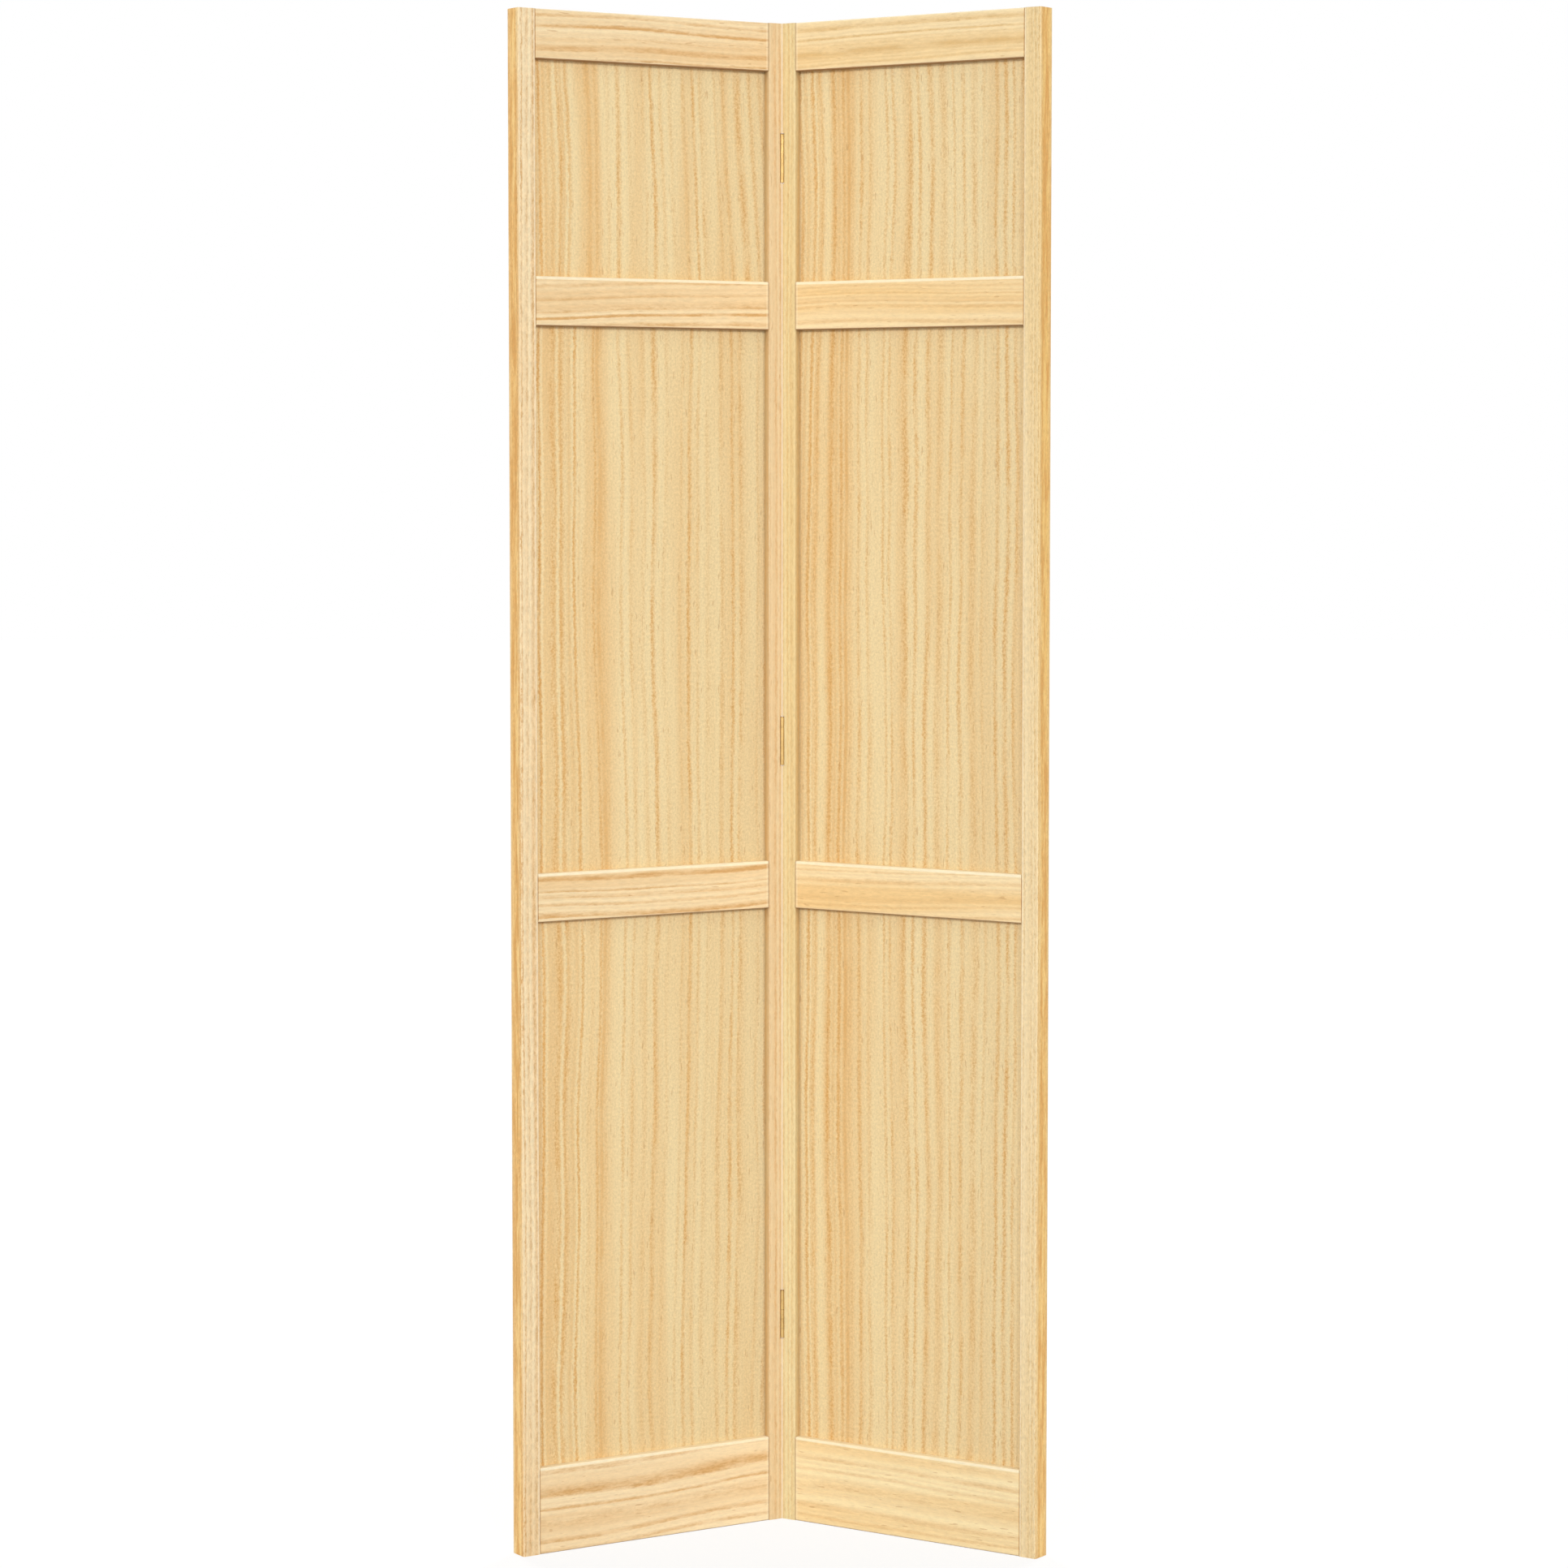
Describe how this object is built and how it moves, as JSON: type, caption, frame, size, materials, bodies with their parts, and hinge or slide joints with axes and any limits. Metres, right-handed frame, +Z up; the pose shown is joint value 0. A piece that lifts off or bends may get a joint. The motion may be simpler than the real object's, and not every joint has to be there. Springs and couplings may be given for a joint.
{
  "type": "bifold closet door",
  "caption": "Bifold closet door in clear pine: stile-and-rail leaves with flat recessed panels, joined by narrow butt hinges so that they fold against each other.",
  "frame": {"origin": "centre of the bounding box's underside, on the floor, with the leaves folded part way", "axes": "+Z up along the stiles; -Y towards the faces that fold together; +X from the left leaf to the right leaf"},
  "size_m": [0.6974, 0.2438, 2.0066],
  "materials": {
    "stile_pine": "sanded, unfinished, grain upright",
    "rail_pine": "sanded, unfinished, grain level",
    "panel_pine": "sanded, unfinished, grain upright",
    "dowel_beech": "plain turned beech",
    "hinge_brass": "satin"
  },
  "bodies": {
    "left_leaf": {"left_outer_stile": "stile_pine", "left_hinge_stile": "stile_pine", "left_bottom_rail": "rail_pine", "left_bottom_rail_hinge_side_lower_dowel": "dowel_beech", "left_bottom_rail_hinge_side_upper_dowel": "dowel_beech", "left_bottom_rail_outer_lower_dowel": "dowel_beech", "left_bottom_rail_outer_upper_dowel": "dowel_beech", "left_lower_cross_rail": "rail_pine", "left_lower_cross_rail_hinge_side_lower_dowel": "dowel_beech", "left_lower_cross_rail_hinge_side_upper_dowel": "dowel_beech", "left_lower_cross_rail_outer_lower_dowel": "dowel_beech", "left_lower_cross_rail_outer_upper_dowel": "dowel_beech", "left_upper_cross_rail": "rail_pine", "left_upper_cross_rail_hinge_side_lower_dowel": "dowel_beech", "left_upper_cross_rail_hinge_side_upper_dowel": "dowel_beech", "left_upper_cross_rail_outer_lower_dowel": "dowel_beech", "left_upper_cross_rail_outer_upper_dowel": "dowel_beech", "left_top_rail": "rail_pine", "left_top_rail_hinge_side_lower_dowel": "dowel_beech", "left_top_rail_hinge_side_upper_dowel": "dowel_beech", "left_top_rail_outer_lower_dowel": "dowel_beech", "left_top_rail_outer_upper_dowel": "dowel_beech", "left_bottom_panel": "panel_pine", "left_middle_panel": "panel_pine", "left_top_panel": "panel_pine", "top_hinge_left_plate": "hinge_brass", "middle_hinge_left_plate": "hinge_brass", "bottom_hinge_left_plate": "hinge_brass", "top_hinge_pin": "hinge_brass", "middle_hinge_pin": "hinge_brass", "bottom_hinge_pin": "hinge_brass"},
    "right_leaf": {"right_outer_stile": "stile_pine", "right_hinge_stile": "stile_pine", "right_bottom_rail": "rail_pine", "right_bottom_rail_hinge_side_lower_dowel": "dowel_beech", "right_bottom_rail_hinge_side_upper_dowel": "dowel_beech", "right_bottom_rail_outer_lower_dowel": "dowel_beech", "right_bottom_rail_outer_upper_dowel": "dowel_beech", "right_lower_cross_rail": "rail_pine", "right_lower_cross_rail_hinge_side_lower_dowel": "dowel_beech", "right_lower_cross_rail_hinge_side_upper_dowel": "dowel_beech", "right_lower_cross_rail_outer_lower_dowel": "dowel_beech", "right_lower_cross_rail_outer_upper_dowel": "dowel_beech", "right_upper_cross_rail": "rail_pine", "right_upper_cross_rail_hinge_side_lower_dowel": "dowel_beech", "right_upper_cross_rail_hinge_side_upper_dowel": "dowel_beech", "right_upper_cross_rail_outer_lower_dowel": "dowel_beech", "right_upper_cross_rail_outer_upper_dowel": "dowel_beech", "right_top_rail": "rail_pine", "right_top_rail_hinge_side_lower_dowel": "dowel_beech", "right_top_rail_hinge_side_upper_dowel": "dowel_beech", "right_top_rail_outer_lower_dowel": "dowel_beech", "right_top_rail_outer_upper_dowel": "dowel_beech", "right_bottom_panel": "panel_pine", "right_middle_panel": "panel_pine", "right_top_panel": "panel_pine", "top_hinge_right_plate": "hinge_brass", "middle_hinge_right_plate": "hinge_brass", "bottom_hinge_right_plate": "hinge_brass"}
  },
  "joints": [
    {"name": "leaf_fold", "type": "hinge", "parent": "left_leaf", "child": "right_leaf", "pos_m": [0, 0.0981, 0], "axis": [0, 0, 1], "range_deg": [-113, 67]}
  ]
}
